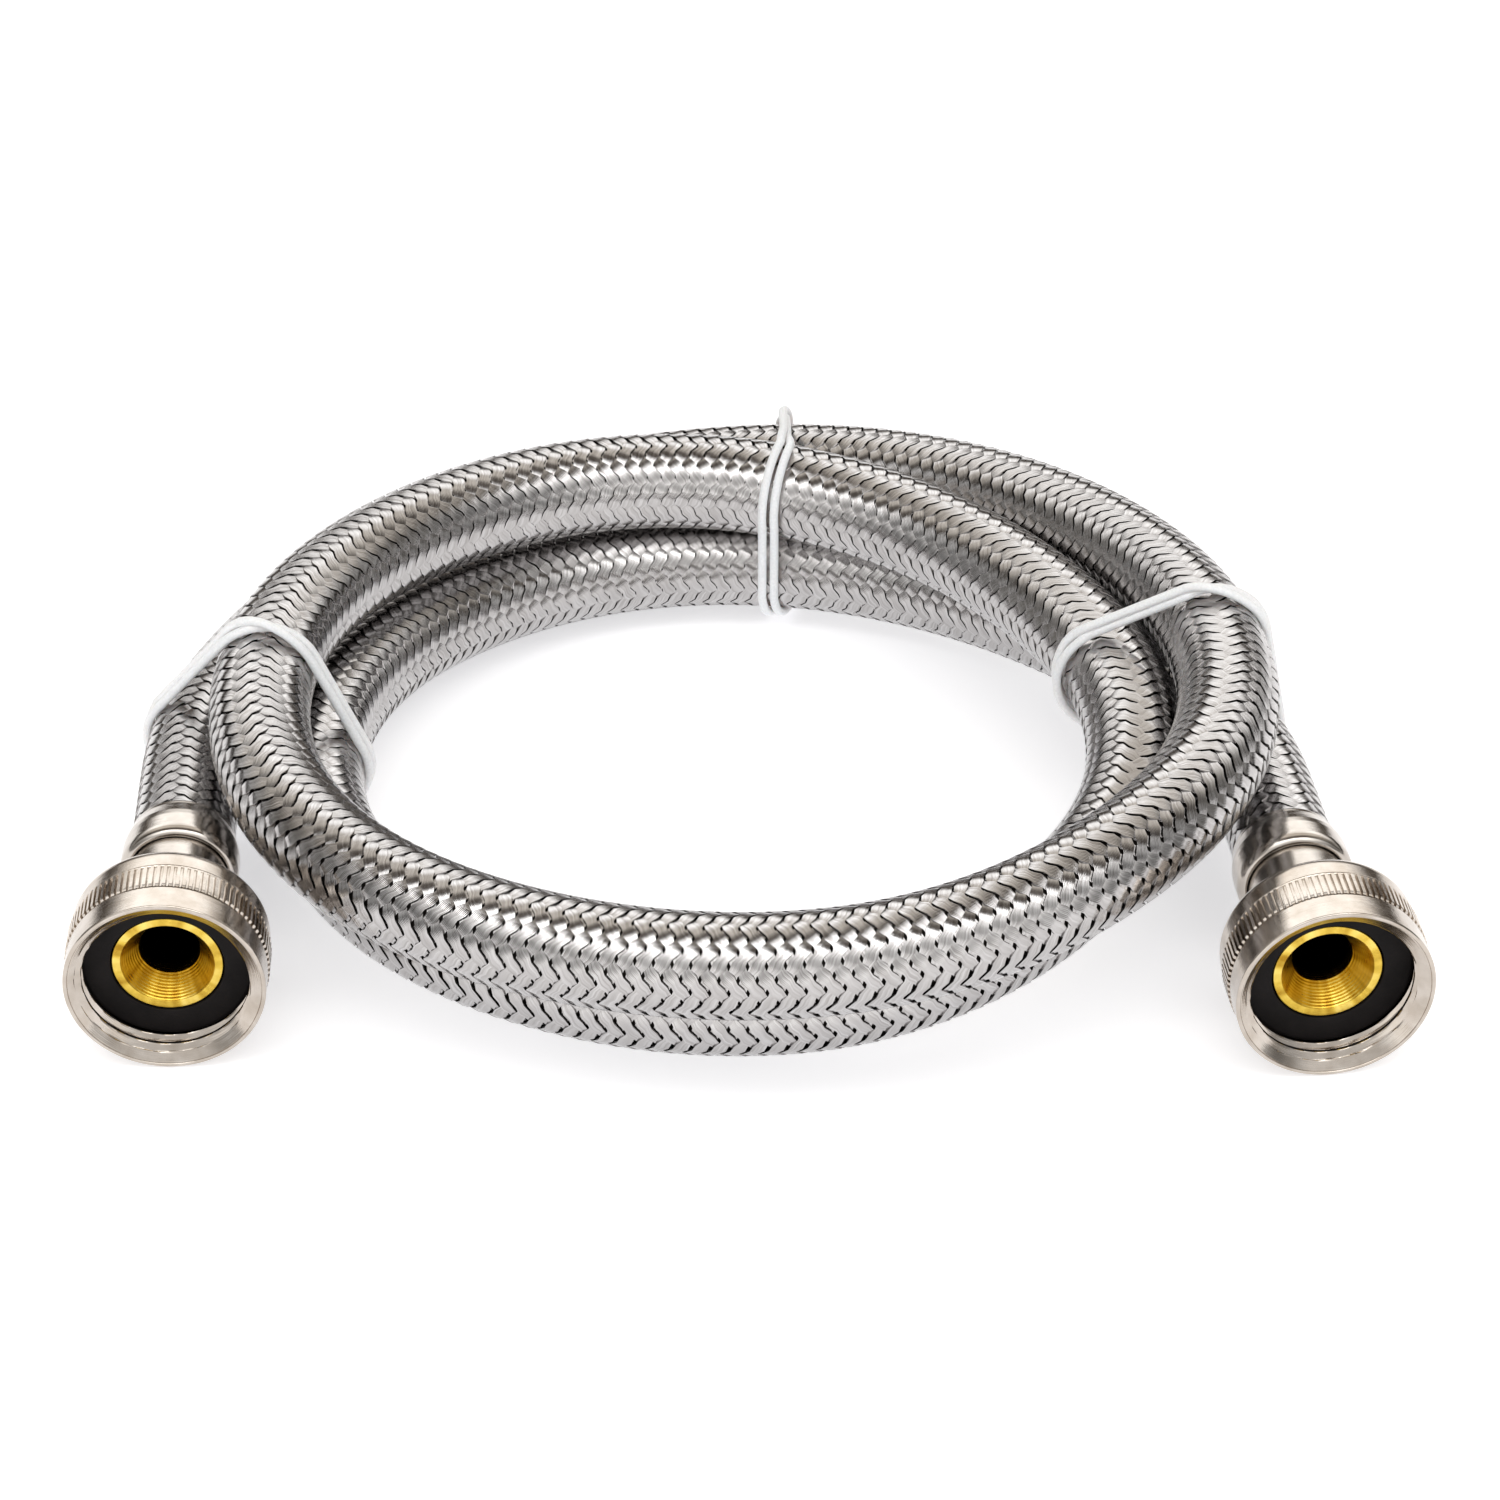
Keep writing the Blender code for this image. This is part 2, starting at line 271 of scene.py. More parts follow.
def carried_sides(points, closed):
    """Two unit vectors across the line at each point, carried along it with no twist."""
    along = directions(points, closed)
    side = unit(np.cross(along[0], [0.0, 0.0, 1.0]))
    sides = [side]
    for heading in along[1:]:
        side = unit(side - heading * (side @ heading))
        sides.append(side)
    sides = np.array(sides)
    others = np.cross(along, sides)
    if closed:
        last = unit(sides[-1] - along[0] * (sides[-1] @ along[0]))
        gap = math.atan2(last @ others[0], last @ sides[0])
        turn = -gap * np.arange(len(points)) / len(points)
        cos, sin = np.cos(turn)[:, None], np.sin(turn)[:, None]
        sides, others = cos * sides + sin * others, cos * others - sin * sides
    return sides, others


def mesh_piece(name, points, faces, body, materials, replaced=(), place=None, uv=None):
    """A piece of the visual model from points in millimetres."""
    mesh = bpy.data.meshes.new(name)
    points = np.asarray(points, float) * MM
    faces = np.asarray(faces, int)
    mesh.vertices.add(len(points))
    mesh.vertices.foreach_set("co", points.ravel())
    size = faces.shape[1]
    mesh.loops.add(faces.size)
    mesh.loops.foreach_set("vertex_index", faces.ravel())
    mesh.polygons.add(len(faces))
    mesh.polygons.foreach_set("loop_start", np.arange(len(faces)) * size)
    if uv is not None:
        layer = mesh.uv_layers.new(name="strand")
        layer.data.foreach_set("uv", np.asarray(uv, float).ravel())
    mesh.update(calc_edges=True)
    mesh.validate()
    mesh.shade_smooth()
    for made in materials:
        mesh.materials.append(made)
    obj = bpy.data.objects.new(name, mesh)
    bpy.context.scene.collection.objects.link(obj)
    if place is not None:
        obj.matrix_world = place
    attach(obj, body)
    if replaced:
        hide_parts(*replaced)
    return obj


def grid_faces(rows, columns, closed_rows=False, closed_columns=True):
    """The quads of a grid whose points are stored row by row."""
    row = np.arange(rows if closed_rows else rows - 1)
    column = np.arange(columns if closed_columns else columns - 1)
    r, c = np.meshgrid(row, column, indexing="ij")
    r2, c2 = (r + 1) % rows, (c + 1) % columns
    quads = np.stack([r * columns + c, r * columns + c2, r2 * columns + c2, r2 * columns + c])
    return quads.reshape(4, -1).T


# ---------------------------------------------------------------- materials


def feed(links, socket, value):
    """Give a socket this value, or link it where the value is another node's output."""
    if isinstance(value, bpy.types.NodeSocket):
        links.new(value, socket)
    else:
        socket.default_value = value


def math_node(tree, operation, first, second=0.0, clamp=False):
    """A Math node's output."""
    node = tree.nodes.new("ShaderNodeMath")
    node.operation = operation
    node.use_clamp = clamp
    feed(tree.links, node.inputs[0], first)
    feed(tree.links, node.inputs[1], second)
    return node.outputs[0]


def set_ramp(node, stops):
    """Give a colour ramp these stops of position and colour."""
    elements = node.color_ramp.elements
    while len(elements) < len(stops):
        elements.new(0.5)
    for element, (position, colour) in zip(elements, stops):
        element.position = position
        element.color = (*colour, 1.0)


class Graph:
    """A material's node graph, with short calls for the nodes used here."""

    def __init__(self, name):
        self.material = bpy.data.materials.new(name)
        self.material.use_nodes = True
        self.tree = self.material.node_tree
        self.nodes = self.tree.nodes
        self.links = self.tree.links
        self.shader = self.nodes["Principled BSDF"]

    def set(self, **values):
        """Set the shader's own inputs, with _ for a space in a name."""
        for socket, value in values.items():
            self.shader.inputs[socket.replace("_", " ")].default_value = value

    def put(self, source, name):
        """Link an output to the shader's input of this name."""
        self.links.new(source, self.shader.inputs[name])

    def add(self, kind, **inputs):
        """A node with these inputs, each a value or another node's output."""
        node = self.nodes.new(kind)
        for name, value in inputs.items():
            feed(self.links, node.inputs[name], value)
        return node

    def math(self, operation, first, second=0.0, clamp=False):
        """A Math node's output."""
        return math_node(self.tree, operation, first, second, clamp)

    def place(self):
        """The point's place in its own object, in metres."""
        return self.nodes.new("ShaderNodeTexCoord").outputs["Object"]

    def scaled(self, vector, scale):
        """The vector times a scale for each axis."""
        node = self.nodes.new("ShaderNodeMapping")
        self.links.new(vector, node.inputs["Vector"])
        node.inputs["Scale"].default_value = scale
        return node.outputs[0]

    def around(self, vector):
        """The direction from the Z axis, with no length."""
        flat = self.nodes.new("ShaderNodeVectorMath")
        flat.operation = "MULTIPLY"
        self.links.new(vector, flat.inputs[0])
        flat.inputs[1].default_value = (1.0, 1.0, 0.0)
        way = self.nodes.new("ShaderNodeVectorMath")
        way.operation = "NORMALIZE"
        self.links.new(flat.outputs[0], way.inputs[0])
        return way.outputs[0]

    def noise(self, vector, scale, detail=3.0, roughness=0.5):
        """Noise from 0 to 1."""
        node = self.add(
            "ShaderNodeTexNoise", Vector=vector, Scale=scale, Detail=detail, Roughness=roughness
        )
        return node.outputs["Fac"]

    def ramp(self, value, *stops):
        """A colour for the value, from stops of position and colour."""
        node = self.add("ShaderNodeValToRGB", Fac=value)
        set_ramp(node, stops)
        return node.outputs["Color"]

    def bump(self, height, strength, distance):
        """Fine relief, without moving the surface."""
        node = self.add("ShaderNodeBump", Height=height, Strength=strength, Distance=distance)
        self.put(node.outputs["Normal"], "Normal")


def braid_material():
    """Bright stainless wire: each strand shows its parallel wires."""
    graph = Graph("braid_wire")
    graph.set(Metallic=1.0)
    uv = graph.nodes.new("ShaderNodeUVMap")
    uv.uv_map = "strand"
    parts = graph.add("ShaderNodeSeparateXYZ", Vector=uv.outputs[0])
    across = graph.math("MULTIPLY", parts.outputs[0], WIRES)
    wire = graph.math("FLOOR", across)
    phase = graph.math("SUBTRACT", graph.math("FRACT", across), 0.5)
    arch = graph.math("SUBTRACT", 0.25, graph.math("MULTIPLY", phase, phase))
    travel = graph.math("MULTIPLY", parts.outputs[1], 0.06)
    seed = graph.add("ShaderNodeCombineXYZ", X=wire, Y=travel)
    shade = graph.noise(seed.outputs[0], 1.7, 1.0)
    # The grey is darker than bare steel: partly painted shade for the shadow between the fine wires.
    # The noise from wire to wire is the wires' own random tone.
    tint = graph.ramp(shade, (0.3, (0.38, 0.365, 0.36)), (0.7, (0.54, 0.53, 0.53)))
    graph.put(tint, "Base Color")
    rough = graph.math("ADD", graph.math("MULTIPLY", shade, 0.1), 0.1)
    graph.put(rough, "Roughness")
    graph.bump(arch, 0.2, 0.0002)
    return graph.material


def liner_material():
    """Dull black rubber under the braid."""
    graph = Graph("liner_rubber")
    graph.set(Metallic=0.0, Specular_IOR_Level=0.2, Roughness=0.85)
    grain = graph.noise(graph.place(), 900.0)
    tint = graph.ramp(grain, (0.3, (0.008, 0.006, 0.005)), (0.8, (0.02, 0.015, 0.012)))
    graph.put(tint, "Base Color")
    return graph.material


def plated_material(name, light, dark, roughness, streak):
    """Polished plated metal with faint turning lines round the piece's own axis."""
    graph = Graph(name)
    graph.set(Metallic=1.0)
    place = graph.place()
    lines = graph.noise(graph.scaled(place, (150.0, 150.0, 9000.0)), 1.0, 2.0)
    cloud = graph.noise(place, 260.0, 3.0)
    graph.put(graph.ramp(cloud, (0.35, dark), (0.65, light)), "Base Color")
    smear = graph.math("MULTIPLY", graph.math("ADD", lines, cloud), 0.06)
    graph.put(graph.math("ADD", smear, roughness - 0.06), "Roughness")
    graph.bump(lines, streak, 0.0002)
    return graph.material


def brass_material():
    """Raw turned brass with the tool's rings, painted reflection as darker and brighter sectors round
    its axis, and painted shade inside the bore.
    """
    graph = Graph("turned_brass")
    graph.set(Metallic=1.0)
    place = graph.place()
    parts = graph.add("ShaderNodeSeparateXYZ", Vector=place)
    wander = graph.noise(place, 300.0, 2.0)
    turns = graph.math("MULTIPLY", parts.outputs[2], 14000.0)
    rings = graph.math("SINE", graph.math("ADD", turns, wander))
    cloud = graph.noise(place, 420.0, 4.0)
    # Painted reflection: broad sectors round the axis darken and brighten the brass's colour in place
    # of the studio's mirror image; the finer cloud is the metal's own random tone.
    painted_reflection_sector = graph.noise(graph.scaled(graph.around(place), (2.6, 2.6, 0.0)), 1.0, 2.0)
    fine, broad_painted_reflection = graph.math("MULTIPLY", cloud, 0.3), graph.math("MULTIPLY", painted_reflection_sector, 0.7)
    shades = ((0.36, (0.40, 0.22, 0.02)), (0.5, (0.72, 0.50, 0.075)), (0.64, (0.95, 0.74, 0.2)))
    tint = graph.ramp(graph.math("ADD", fine, broad_painted_reflection), *shades)
    # Painted shade: from that depth the colour fades to near black within 2 mm, deeper into the bore.
    before_painted_shade = graph.math("ADD", parts.outputs[2], BORE_PAINTED_SHADE_FROM * MM)
    bore_painted_shade = graph.nodes.new("ShaderNodeMix")
    bore_painted_shade.data_type = "RGBA"
    depth = graph.math("MULTIPLY", before_painted_shade, -500.0, True)
    feed(graph.links, bore_painted_shade.inputs["Factor"], depth)
    feed(graph.links, bore_painted_shade.inputs["A"], tint)
    feed(graph.links, bore_painted_shade.inputs["B"], (0.012, 0.006, 0.003, 1.0))
    graph.put(bore_painted_shade.outputs["Result"], "Base Color")
    rough = graph.math("ADD", graph.math("MULTIPLY", cloud, 0.2), 0.2)
    graph.put(rough, "Roughness")
    graph.bump(rings, 0.12, 0.0002)
    tangent = graph.nodes.new("ShaderNodeTangent")
    tangent.direction_type = "RADIAL"
    tangent.axis = "Z"
    graph.put(tangent.outputs[0], "Tangent")
    graph.set(Anisotropic=0.75)
    return graph.material


def washer_material():
    """Black moulded rubber."""
    graph = Graph("washer_rubber")
    graph.set(Metallic=0.0, Specular_IOR_Level=0.18, Roughness=0.7)
    place = graph.place()
    grain = graph.noise(place, 1600.0, 3.0)
    cloud = graph.noise(place, 200.0, 2.0)
    tint = graph.ramp(cloud, (0.3, (0.004, 0.003, 0.003)), (0.75, (0.010, 0.008, 0.008)))
    graph.put(tint, "Base Color")
    graph.bump(grain, 0.25, 0.0002)
    return graph.material


def cord_material():
    """White twisted cord."""
    graph = Graph("tie_cord")
    graph.set(Metallic=0.0, Roughness=0.55, Subsurface_Weight=0.08)
    fibre = graph.noise(graph.place(), 2600.0, 3.0)
    tint = graph.ramp(fibre, (0.3, (0.84, 0.84, 0.85)), (0.7, (0.95, 0.95, 0.96)))
    graph.put(tint, "Base Color")
    graph.bump(fibre, 0.3, 0.0003)
    return graph.material


# ---------------------------------------------------------------- hose


def braid_points(line, hand, strand):
    """One strand's centre points, the outward direction and its own width at each."""
    length = line_length(line)
    per_crossing = BRAID_LEAD / (2 * CARRIERS)
    repeats = int(length / per_crossing / 2) + 3
    phase = np.add.outer(2.0 * np.arange(-2, repeats), WEAVE_STOPS).ravel()
    first_over = 1.0 - 0.5 * hand - hand * ((2 * strand) % 4)
    along = (phase + first_over) * per_crossing
    keep = (along >= 0) & (along <= length)
    along, phase = along[keep], phase[keep]
    share = np.linspace(0, length, len(line))
    centre = np.stack([np.interp(along, share, line[:, k]) for k in range(3)], axis=1)
    sides, others = carried_sides(line, False)
    side = unit(np.stack([np.interp(along, share, sides[:, k]) for k in range(3)], axis=1))
    other = unit(np.stack([np.interp(along, share, others[:, k]) for k in range(3)], axis=1))
    turn = 2 * math.pi * (strand / CARRIERS + hand * along / BRAID_LEAD)
    outward = np.cos(turn)[:, None] * side + np.sin(turn)[:, None] * other
    wave = np.tanh(WEAVE_STEEPNESS * np.cos(math.pi * phase / 2))
    radius = BRAID_R + BRAID_SWING * wave / math.tanh(WEAVE_STEEPNESS)
    width = STRAND_WIDTH - STRAND_SCALLOP * np.cos(2 * math.pi * phase)
    return centre + radius[:, None] * outward, outward, width


def braid(name, line, hand, replaced):
    """All the strands that wind one way."""
    points = []
    faces = []
    uv = []
    offset = 0
    caps = np.array([[3, 2, 1, 0], [0, 1, 2, 3]])
    corner = np.array([0.0, 1.0, 1.0, 0.0])
    for strand in range(CARRIERS):
        centre, outward, width = braid_points(line, hand, strand)
        heading = directions(centre, False)
        normal = unit(outward - heading * np.sum(outward * heading, axis=1)[:, None])
        across = np.cross(heading, normal)
        half = 0.5 * width[:, None] * across
        rise = 0.5 * STRAND_THICKNESS * normal
        upper = [centre - half + rise, centre + half + rise]
        lower = [centre + half - rise, centre - half - rise]
        points.append(np.stack(upper + lower, axis=1).reshape(-1, 3))
        quads = grid_faces(len(centre), 4)
        faces.append(quads + offset)
        row, column = quads // 4, quads % 4
        travel = np.cumsum(np.r_[0.0, np.linalg.norm(np.diff(centre, axis=0), axis=1)])
        uv.append(np.stack([corner[column] + 17.0 * strand, travel[row]], axis=-1))
        last_ring = 4 * (len(centre) - 1)
        faces.append(caps + np.array([[0], [last_ring]]) + offset)
        uv.append(np.zeros((2, 4, 2)))
        offset += 4 * len(centre)
    piece = mesh_piece(
        name,
        np.vstack(points),
        np.vstack(faces),
        "hose",
        [MATERIALS["braid"]],
        replaced,
        uv=np.vstack(uv),
    )
    piece.data.set_sharp_from_angle(angle=math.radians(50))
    return piece


def circles(line, columns, closed):
    """A circle of unit radius across the line at each of its points."""
    sides, others = carried_sides(line, closed)
    turn = 2 * math.pi * np.arange(columns) / columns
    cos, sin = np.cos(turn)[None, :, None], np.sin(turn)[None, :, None]
    return sides[:, None, :] * cos + others[:, None, :] * sin


def liner(line, columns=32):
    """The inner tube, open at both ends, as one closed wall."""
    rings = circles(line, columns, False)
    outer = line[:, None, :] + TUBE_OUTER_R * rings
    inner = line[::-1, None, :] + TUBE_INNER_R * rings[::-1]
    points = np.concatenate([outer, inner]).reshape(-1, 3)
    faces = grid_faces(2 * len(line), columns, closed_rows=True)
    look = [MATERIALS["liner"]]
    return mesh_piece("liner", points, faces[:, ::-1], "hose", look, ["inner_tube"])


# ---------------------------------------------------------------- ties


def strands_through(line, centre, outward, across):
    """Where the hose crosses a tie's plane, as (outward, up, radius seen in the plane)."""
    heading = directions(line, False)
    offset = (line[:, :2] - centre) @ across
    reach = (line[:, :2] - centre) @ outward
    found = []
    for k in np.flatnonzero(offset[:-1] * offset[1:] < 0):
        if abs(reach[k]) > TIE_REACH:
            continue
        slant = abs(heading[k, :2] @ across)
        share = offset[k] / (offset[k] - offset[k + 1])
        out = reach[k] + share * (reach[k + 1] - reach[k])
        up = line[k, 2] + share * (line[k + 1, 2] - line[k, 2])
        found.append((out, up, HOSE_OD / 2 / slant + TIE_R))
    return np.array(found)


def tie_line(line, centre, outward_angle, crossing_angle, bow):
    """A closed line that goes twice round the strands and crosses over itself once."""
    turn = math.radians(outward_angle)
    outward = np.array([math.cos(turn), math.sin(turn)])
    across = np.array([-math.sin(turn), math.cos(turn)])
    centre = np.array(centre) + COIL_AXIS
    strands = strands_through(line, centre, outward, across)
    points = []
    for share in np.linspace(0, 2, 1440, endpoint=False):
        lap, part = divmod(share, 1.0)
        angle = math.radians(crossing_angle) + 2 * math.pi * (part - 0.5)
        facing = np.array([math.cos(angle), math.sin(angle)])
        held_by = strands[np.argmax(strands[:, :2] @ facing + strands[:, 2])]
        swap = 1.0 - 2.0 / (1.0 + math.exp(-(part - 0.5) / 0.035))
        sideways = TIE_SPREAD * swap * (1 if lap == 0 else -1)
        sideways += bow * (max(0.0, -facing[0]) - 0.35)
        lift = TIE_LIFT * math.exp(-(((part - 0.5) / 0.1) ** 2)) if lap else 0.0
        out, up = held_by[:2] + (held_by[2] + lift) * facing
        x, y = centre + out * outward + sideways * across
        points.append((x, y, up))
    points.append(points[0])
    return evenly_spaced(np.array(points), 361)[:-1]


def tie(name, line):
    """A cord of three twisted plies along a closed line."""
    turns = round(line_length(line) / TIE_TWIST_LENGTH)
    twist = 2 * math.pi * turns * np.arange(len(line)) / len(line)
    around = 2 * math.pi * np.arange(TIE_COLUMNS) / TIE_COLUMNS
    ply = np.abs(np.cos(1.5 * (around[None, :] - twist[:, None])))
    radius = TIE_R * (0.96 + 0.04 * np.sqrt(ply))
    rings = circles(line, TIE_COLUMNS, True)
    points = (line[:, None, :] + radius[:, :, None] * rings).reshape(-1, 3)
    faces = grid_faces(len(line), TIE_COLUMNS, closed_rows=True)
    return mesh_piece(name + "_cord", points, faces, "hose", [MATERIALS["tie"]], [name])


# ---------------------------------------------------------------- fittings


def rounded(outline, radius=0.12, steps=3):
    """The closed outline with each corner rounded, by less where the sides are short."""
    corners = np.array(outline, float)
    count = len(corners)
    made = []
    for k in range(count):
        corner = corners[k]
        before, after = corners[k - 1] - corner, corners[(k + 1) % count] - corner
        reach = min(radius, 0.4 * np.linalg.norm(before), 0.4 * np.linalg.norm(after))
        start, end = corner + reach * unit(before), corner + reach * unit(after)
        for step in range(steps + 1):
            t = step / steps
            made.append((1 - t) ** 2 * start + 2 * t * (1 - t) * corner + t**2 * end)
    return np.array(made)


def lathe_points(outline, columns):
    """Rows of points round the Z axis, one row for each (distance, radius) of the outline."""
    turn = 2 * math.pi * np.arange(columns) / columns
    radius, distance = outline[:, 1], outline[:, 0]
    x = radius[:, None] * np.cos(turn)[None, :]
    y = radius[:, None] * np.sin(turn)[None, :]
    z = -np.broadcast_to(distance[:, None], x.shape)
    return np.stack([x, y, z], axis=-1)


def turned_piece(name, outline, body, materials, replaced, place, raw=None):
    """A turned piece from a closed outline. raw picks the second material by the outline's points."""
    points = lathe_points(outline, TURNED_COLUMNS).reshape(-1, 3)
    faces = grid_faces(len(outline), TURNED_COLUMNS, closed_rows=True)
    piece = mesh_piece(name, points, faces, body, materials, replaced, place)
    if raw is not None:
        row = np.arange(len(faces)) // TURNED_COLUMNS
        piece.data.polygons.foreach_set("material_index", raw(outline)[row].astype(int))
    outward(piece)
    piece.modifiers.new("normals", "WEIGHTED_NORMAL").keep_sharp = True
    return piece


def outward(piece):
    """Turn the faces out where the closed mesh is inside out."""
    mesh = piece.data
    points = np.empty(3 * len(mesh.vertices))
    mesh.vertices.foreach_get("co", points)
    points = points.reshape(-1, 3)
    mesh.calc_loop_triangles()
    corners = np.empty(3 * len(mesh.loop_triangles), int)
    mesh.loop_triangles.foreach_get("vertices", corners)
    if np.linalg.det(points[corners.reshape(-1, 3)]).sum() < 0:
        mesh.flip_normals()


def nut_outline():
    """The nut's body without the thread, whose rows are worked out apart."""
    front = [(0.0, MOUTH_R), (0.0, 15.0), (0.2, 15.2), (4.85, 15.2), (5.15, 14.85)]
    front += [(BAND_BACK, 14.85), (BAND_BACK + 0.25, SHOULDER_R)]
    shoulder = []
    for step in range(SHOULDER_STEPS + 1):
        turn = 0.5 * math.pi * step / SHOULDER_STEPS
        distance = SHOULDER_FROM + (NUT_BACK - SHOULDER_FROM) * math.sin(turn)
        radius = SHOULDER_R - 2.9 * (1.0 - math.cos(turn))
        shoulder.append((distance, radius))
    back = [(NUT_BACK, NUT_HOLE_R + 0.3), (NUT_BACK - 0.3, NUT_HOLE_R), (11.8, NUT_HOLE_R)]
    back += [(11.8, RELIEF_R), (THREAD_END, RELIEF_R)]
    return rounded(front + shoulder + back, 0.15)


def thread_rows():
    """Radius of the threaded bore at each distance from the rim and each column."""
    distance = np.linspace(THREAD_END, 0.0, THREAD_ROWS + 2)[1:-1]
    turn = np.arange(NUT_COLUMNS) / NUT_COLUMNS
    phase = (distance[:, None] / THREAD_PITCH - turn[None, :]) % 1.0
    ridge = np.clip(1.45 - 3.4 * np.abs(phase - 0.5), 0.0, 1.0)
    radius = THREAD_ROOT_R - (THREAD_ROOT_R - THREAD_CREST_R) * ridge
    mouth = MOUTH_R - MOUTH_SLOPE * distance[:, None]
    run_out = RELIEF_R - RUN_OUT_SLOPE * (THREAD_END - distance[:, None])
    return distance, np.maximum(np.maximum(radius, mouth), run_out)


def knurl():
    """The fluted band's points and faces, as a closed ring of its own."""
    shares = np.array([0.0, 0.2, 0.26, 0.5, 0.74, 0.8])
    depths = np.array([1.0, 1.0, 0.0, 0.0, 0.0, 1.0])
    turn = 2 * math.pi * (np.arange(FLUTES)[:, None] + shares[None, :]).ravel() / FLUTES
    depth = np.tile(depths, FLUTES) * (FLUTE_TIP_R - FLUTE_ROOT_R)
    plain = np.zeros(len(turn))
    rows = [
        (BAND_FRONT, 14.6, plain),
        (BAND_FRONT, 15.0, plain),
        (BAND_FRONT + BAND_EDGE, FLUTE_TIP_R, depth),
        (BAND_BACK - BAND_EDGE, FLUTE_TIP_R, depth),
        (BAND_BACK, 15.0, plain),
        (BAND_BACK, 14.6, plain),
    ]
    points = []
    for distance, radius, sunk in rows:
        r = radius - sunk
        z = np.full_like(r, -distance)
        points.append(np.stack([r * np.cos(turn), r * np.sin(turn), z], axis=-1))
    return np.concatenate(points), grid_faces(len(rows), len(turn), closed_rows=True)


def coupling_nut(side, place):
    """The nut: plated body with a real thread, and the knurled band round it."""
    outline = nut_outline()
    body = lathe_points(outline, NUT_COLUMNS)
    distance, radius = thread_rows()
    turn = 2 * math.pi * np.arange(NUT_COLUMNS) / NUT_COLUMNS
    z = -np.broadcast_to(distance[:, None], radius.shape)
    thread = np.stack([radius * np.cos(turn), radius * np.sin(turn), z], axis=-1)
    rows = np.concatenate([body, thread])
    points = rows.reshape(-1, 3)
    faces = grid_faces(len(rows), NUT_COLUMNS, closed_rows=True)
    band_points, band_faces = knurl()
    faces = np.vstack([faces, band_faces[:, ::-1] + len(points)])
    points = np.vstack([points, band_points])
    name = side + "_coupling_nut"
    look = [MATERIALS["nut"]]
    piece = mesh_piece(name + "_plated", points, faces, side + "_nut", look, [name], place)
    piece.data.set_sharp_from_angle(angle=math.radians(38))
    outward(piece)
    piece.modifiers.new("normals", "WEIGHTED_NORMAL").keep_sharp = True


def tailpiece_outline():
    """Nose, flange, neck and the thin shank inside the hose, then back along the bore."""
    nose = [(NOSE_FRONT, 7.1), (NOSE_FRONT, 8.3), (NOSE_FRONT + 0.15, NOSE_R), (NOSE_END, NOSE_R)]
    flange = [(NOSE_END, 12.3), (10.6, 12.3)]
    neck = [(10.6, 7.7), (29.2, 7.7)]
    shank = [(29.2, 4.95), (45.0, 4.8), (45.0, BORE_R)]
    bore = [(12.0, BORE_R), (BORE_MOUTH_END, 4.65), (BORE_MOUTH_END - 0.1, 4.7)]
    return rounded(nose + flange + neck + shank + bore, 0.1)


def ferrule_outline():
    """The crimped collar: a flare from the hose, a plain band and a rounded front."""
    outside = [(36.6, 8.35), (35.9, 8.4), (34.6, 8.75), (33.4, 9.05), (32.2, 9.15), (29.6, 9.15)]
    nose = []
    for step in range(FERRULE_STEPS + 1):
        turn = 0.5 * math.pi * step / FERRULE_STEPS
        nose.append((29.4 - 1.8 * math.sin(turn), 7.95 + 1.2 * math.cos(turn)))
    inside = [(27.8, 7.8), (28.4, 7.8), (28.5, 8.1), (36.6, 8.1)]
    return rounded(outside + nose + inside, 0.12)


def bare_brass(outline):
    """Where the tailpiece's plating is turned away: its nose and its bore."""
    distance, radius = outline[:, 0], outline[:, 1]
    nose = (distance < NOSE_END - 0.1) & (radius < NOSE_R + 0.05)
    return nose | (radius < 4.9)


def fitting(side, rim, yaw):
    """The visible pieces of one end."""
    out = Vector(fitting_axis(yaw))
    up = Vector((0.0, 0.0, 1.0))
    across = up.cross(out)
    place = Matrix((across, up, out)).transposed().to_4x4()
    place.translation = Vector(rim_centre(rim)) * MM
    turned_piece(
        side + "_tailpiece_turned",
        tailpiece_outline(),
        "hose",
        [MATERIALS["neck"], MATERIALS["brass"]],
        [side + "_tailpiece"],
        place,
        raw=bare_brass,
    )
    turned_piece(
        side + "_washer_rubber",
        rounded([(5.6, 8.6), (5.6, 12.6), (5.9, 13.1), (8.5, 13.1), (8.5, 8.6)], 0.2),
        side + "_seal",
        [MATERIALS["washer"]],
        [side + "_washer"],
        place,
    )
    turned_piece(
        side + "_ferrule_pressed",
        ferrule_outline(),
        "hose",
        [MATERIALS["ferrule"]],
        [side + "_ferrule"],
        place,
    )
    coupling_nut(side, place)


# ---------------------------------------------------------------- studio


def floor():
    """A pale floor."""
    mesh = bpy.data.meshes.new("floor")
    corners = [(x * FLOOR_REACH, y * FLOOR_REACH, 0) for x, y in ((-1, -1), (1, -1), (1, 1), (-1, 1))]
    mesh.from_pydata(corners, [], [(0, 1, 2, 3)])
    made = bpy.data.objects.new("floor", mesh)
    bpy.context.scene.collection.objects.link(made)
    paint = Graph("floor_paint")
    paint.set(Base_Color=(0.8, 0.8, 0.81, 1.0), Roughness=0.9, Specular_IOR_Level=0.0)
    paint.set(Emission_Color=(1.0, 1.0, 1.02, 1.0), Emission_Strength=0.5)
    mesh.materials.append(paint.material)


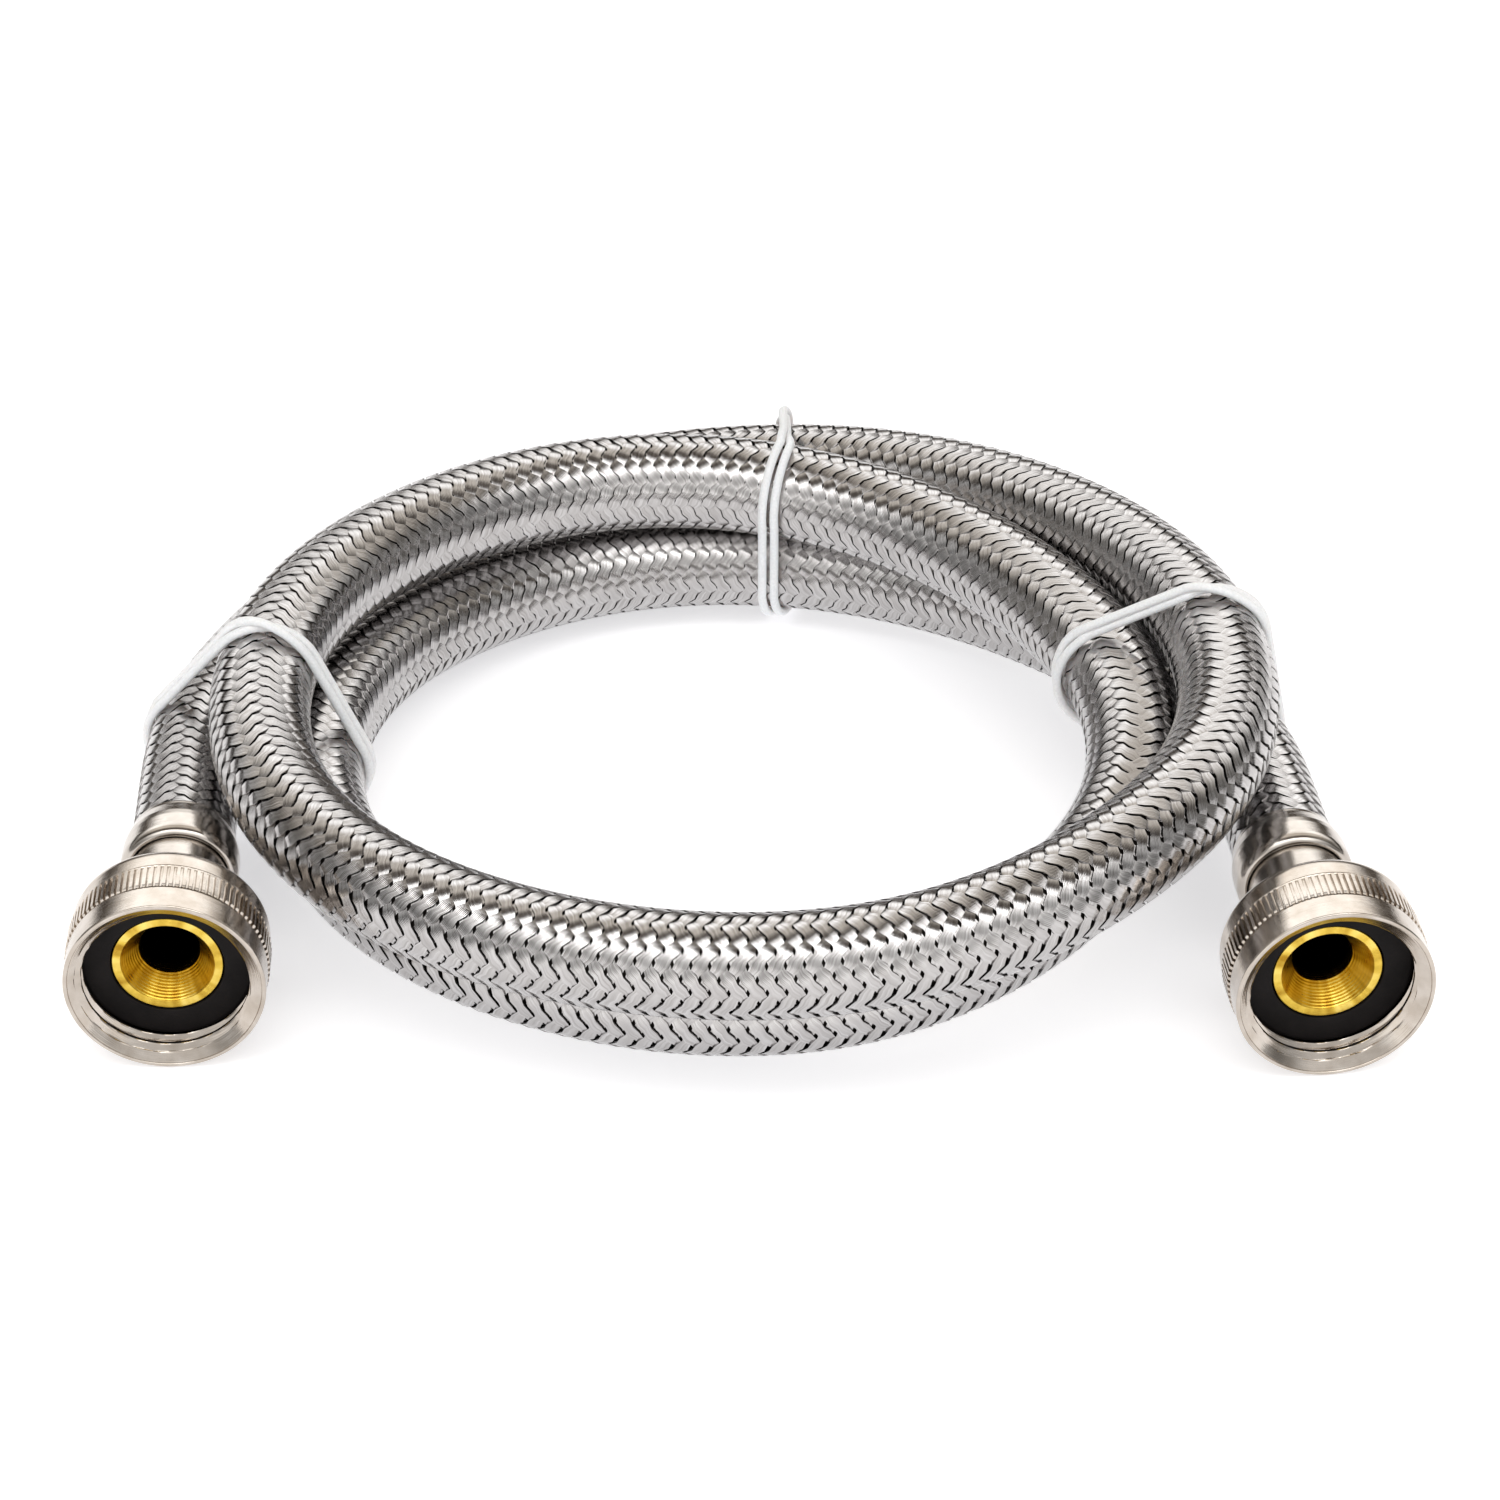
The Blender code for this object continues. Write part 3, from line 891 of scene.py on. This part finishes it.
def sky():
    """A sky in bands from the front over the top to the back, with dark cards at the sides."""
    world = bpy.data.worlds.new("studio")
    bpy.context.scene.world = world
    world.use_nodes = True
    tree = world.node_tree
    background = tree.nodes["Background"]
    coordinates = tree.nodes.new("ShaderNodeTexCoord")
    parts = tree.nodes.new("ShaderNodeSeparateXYZ")
    tree.links.new(coordinates.outputs["Generated"], parts.inputs[0])
    x, y, z = parts.outputs
    # The angle from the horizon in front, over the top, to the horizon behind, as 0 to 1.
    towards = math_node(tree, "MULTIPLY", y, -1.0)
    arc = math_node(tree, "DIVIDE", math_node(tree, "ARCTAN2", z, towards), math.pi)
    ramp = tree.nodes.new("ShaderNodeValToRGB")
    tree.links.new(arc, ramp.inputs["Fac"])
    stops = [(angle / 180.0, [level * part for part in tint]) for angle, level, tint in SKY]
    set_ramp(ramp, stops)
    aside = math_node(tree, "MULTIPLY", math_node(tree, "ABSOLUTE", x), SIDE_CARD_EDGE)
    card = math_node(tree, "SUBTRACT", aside, SIDE_CARD_START, True)
    shade = math_node(tree, "MULTIPLY", card, SIDE_CARD_DARKNESS)
    keep = math_node(tree, "SUBTRACT", 1.0, shade)
    tree.links.new(ramp.outputs["Color"], background.inputs["Color"])
    tree.links.new(keep, background.inputs["Strength"])


def softbox():
    """One wide light above the coil, a little in front."""
    light = bpy.data.lights.new("overhead", "AREA")
    light.shape = "RECTANGLE"
    light.size, light.size_y = SOFTBOX_SIZE
    light.energy = SOFTBOX_POWER
    lamp = bpy.data.objects.new("overhead", light)
    lamp.location = SOFTBOX_AT
    lamp.rotation_mode = "QUATERNION"
    lamp.rotation_quaternion = (-Vector(SOFTBOX_AT)).to_track_quat("-Z", "Y")
    bpy.context.scene.collection.objects.link(lamp)


def camera():
    """The view from the front, above the coil."""
    lens = bpy.data.cameras.new("camera")
    lens.sensor_width = 36.0
    lens.lens = CAMERA_LENS
    lens.clip_start, lens.clip_end = 0.01, 20.0
    eye = bpy.data.objects.new("camera", lens)
    eye.location = Vector(CAMERA_AT) * MM
    eye.rotation_euler = (math.radians(90.0 - CAMERA_TILT), 0.0, 0.0)
    bpy.context.scene.collection.objects.link(eye)
    bpy.context.scene.camera = eye
    bpy.context.scene.view_settings.view_transform = "Standard"


MATERIALS = {
    "braid": braid_material(),
    "liner": liner_material(),
    "nut": plated_material("nickel_plate", (0.58, 0.53, 0.48), (0.46, 0.405, 0.35), 0.14, 0.08),
    "neck": plated_material("nickel_neck", (0.58, 0.54, 0.50), (0.48, 0.44, 0.40), 0.18, 0.1),
    "ferrule": plated_material("pressed_steel", (0.58, 0.54, 0.50), (0.46, 0.42, 0.38), 0.15, 0.08),
    "brass": brass_material(),
    "washer": washer_material(),
    "tie": cord_material(),
}


def main():
    route = hose_centreline()
    line = evenly_spaced(route, 1200)
    floor()
    sky()
    softbox()
    camera()
    for side, rim, yaw in (("left", LEFT_RIM, LEFT_YAW), ("right", RIGHT_RIM, RIGHT_YAW)):
        fitting(side, rim, yaw)
    liner(evenly_spaced(route, 360))
    for name, (centre, outward_angle, crossing_angle, bow) in TIES.items():
        tie(name, tie_line(line, centre, outward_angle, crossing_angle, bow))
    strands = braid("braid_right_hand", line, 1, ["braid_sleeve"])
    other_strands = braid("braid_left_hand", line, -1, ["braid_sleeve"])


main()
